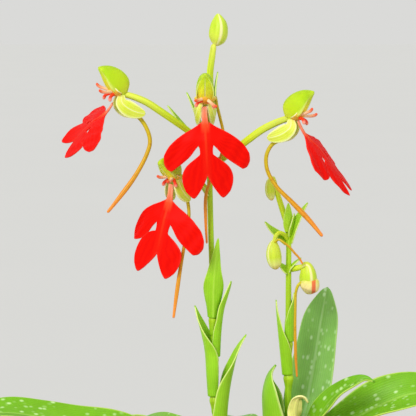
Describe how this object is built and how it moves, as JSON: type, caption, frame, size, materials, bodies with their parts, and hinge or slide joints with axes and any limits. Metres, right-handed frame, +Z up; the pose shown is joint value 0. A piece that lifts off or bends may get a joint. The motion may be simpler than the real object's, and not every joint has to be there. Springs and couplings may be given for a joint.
{
  "type": "potted habenaria rhodocheila",
  "caption": "Terrestrial orchid in a plain terracotta pot, with red long-lobed lips under green hoods, thin ochre spurs and sheathed green stems.",
  "frame": {"origin": "middle of the pot's underside, on the surface that the pot stands on", "axes": "+Z up along the stems, -Y towards the front, where most of the flowers face, +X to the right seen from the front"},
  "size_m": [0.1947, 0.1382, 0.2519],
  "materials": {
    "terracotta": "matte",
    "potting_mix": "matte",
    "stem_green": "satin",
    "sheath_green": "satin",
    "leaf_green": "satin",
    "pale_leaf": "satin",
    "sepal_green": "satin",
    "lip_red": "satin",
    "column_pink": "satin",
    "spur_ochre": "satin",
    "bud_green": "satin",
    "bud_yellow": "satin"
  },
  "bodies": {
    "root": {"pot": "terracotta", "potting_mix": "potting_mix", "stem_main": "stem_green", "stem_second": "stem_green", "sheath_main_1": "sheath_green", "sheath_main_2": "sheath_green", "sheath_main_3": "sheath_green", "sheath_main_4": "sheath_green", "sheath_second_1": "sheath_green", "sheath_second_2": "sheath_green", "leaf_a": "leaf_green", "leaf_b": "pale_leaf", "leaf_c": "leaf_green", "leaf_d": "leaf_green", "leaf_e": "leaf_green", "leaf_f": "leaf_green", "leaf_g": "leaf_green", "leaf_h": "leaf_green", "leaf_j": "leaf_green", "flower_left_sepals": "sepal_green", "flower_left_column": "column_pink", "flower_left_lip": "lip_red", "flower_left_spur": "spur_ochre", "flower_centre_sepals": "sepal_green", "flower_centre_column": "column_pink", "flower_centre_lip": "lip_red", "flower_centre_spur": "spur_ochre", "flower_lower_sepals": "sepal_green", "flower_lower_column": "column_pink", "flower_lower_lip": "lip_red", "flower_lower_spur": "spur_ochre", "flower_right_sepals": "sepal_green", "flower_right_column": "column_pink", "flower_right_lip": "lip_red", "flower_right_spur": "spur_ochre", "bud_top": "bud_green", "bud_second_1": "bud_green", "bud_second_2": "bud_green", "bud_second_3_cap": "bud_green", "bud_second_3_belly": "bud_yellow", "bud_second_2_spur": "spur_ochre", "bud_second_3_spur": "spur_ochre"}
  },
  "joints": []
}
